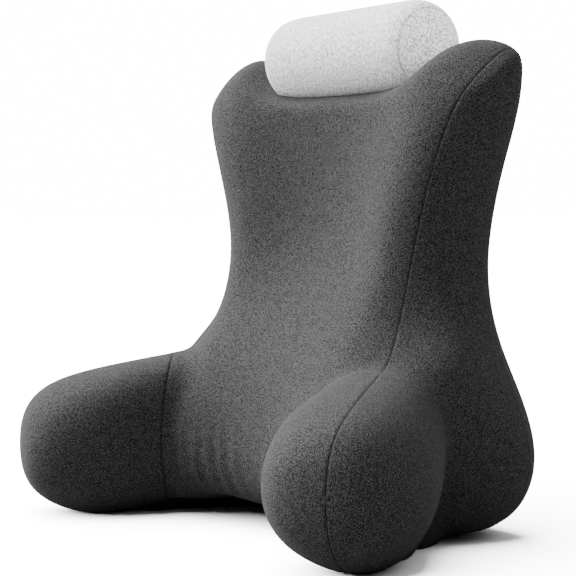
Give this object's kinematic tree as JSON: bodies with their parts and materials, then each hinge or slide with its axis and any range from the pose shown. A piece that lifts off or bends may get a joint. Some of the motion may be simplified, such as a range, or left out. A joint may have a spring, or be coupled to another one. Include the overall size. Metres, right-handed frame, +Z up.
{
  "type": "reading pillow with arms",
  "caption": "Stuffed backrest pillow with a tall waisted back, rounded arms that splay forward, and a loose head roll in the dip of its top.",
  "frame": {"origin": "middle of the bounding box, on the surface the pillow stands on", "axes": "+Z up, -Y the way the sitter faces, +X across the pillow from one arm to the other"},
  "size_m": [0.8168, 0.4995, 0.7365],
  "materials": {
    "charcoal_knit": "soft matte heather knit, dark charcoal",
    "light_grey_knit": "soft matte heather knit, light grey"
  },
  "bodies": {
    "root": {"body": "charcoal_knit", "head_roll": "light_grey_knit"}
  },
  "joints": []
}
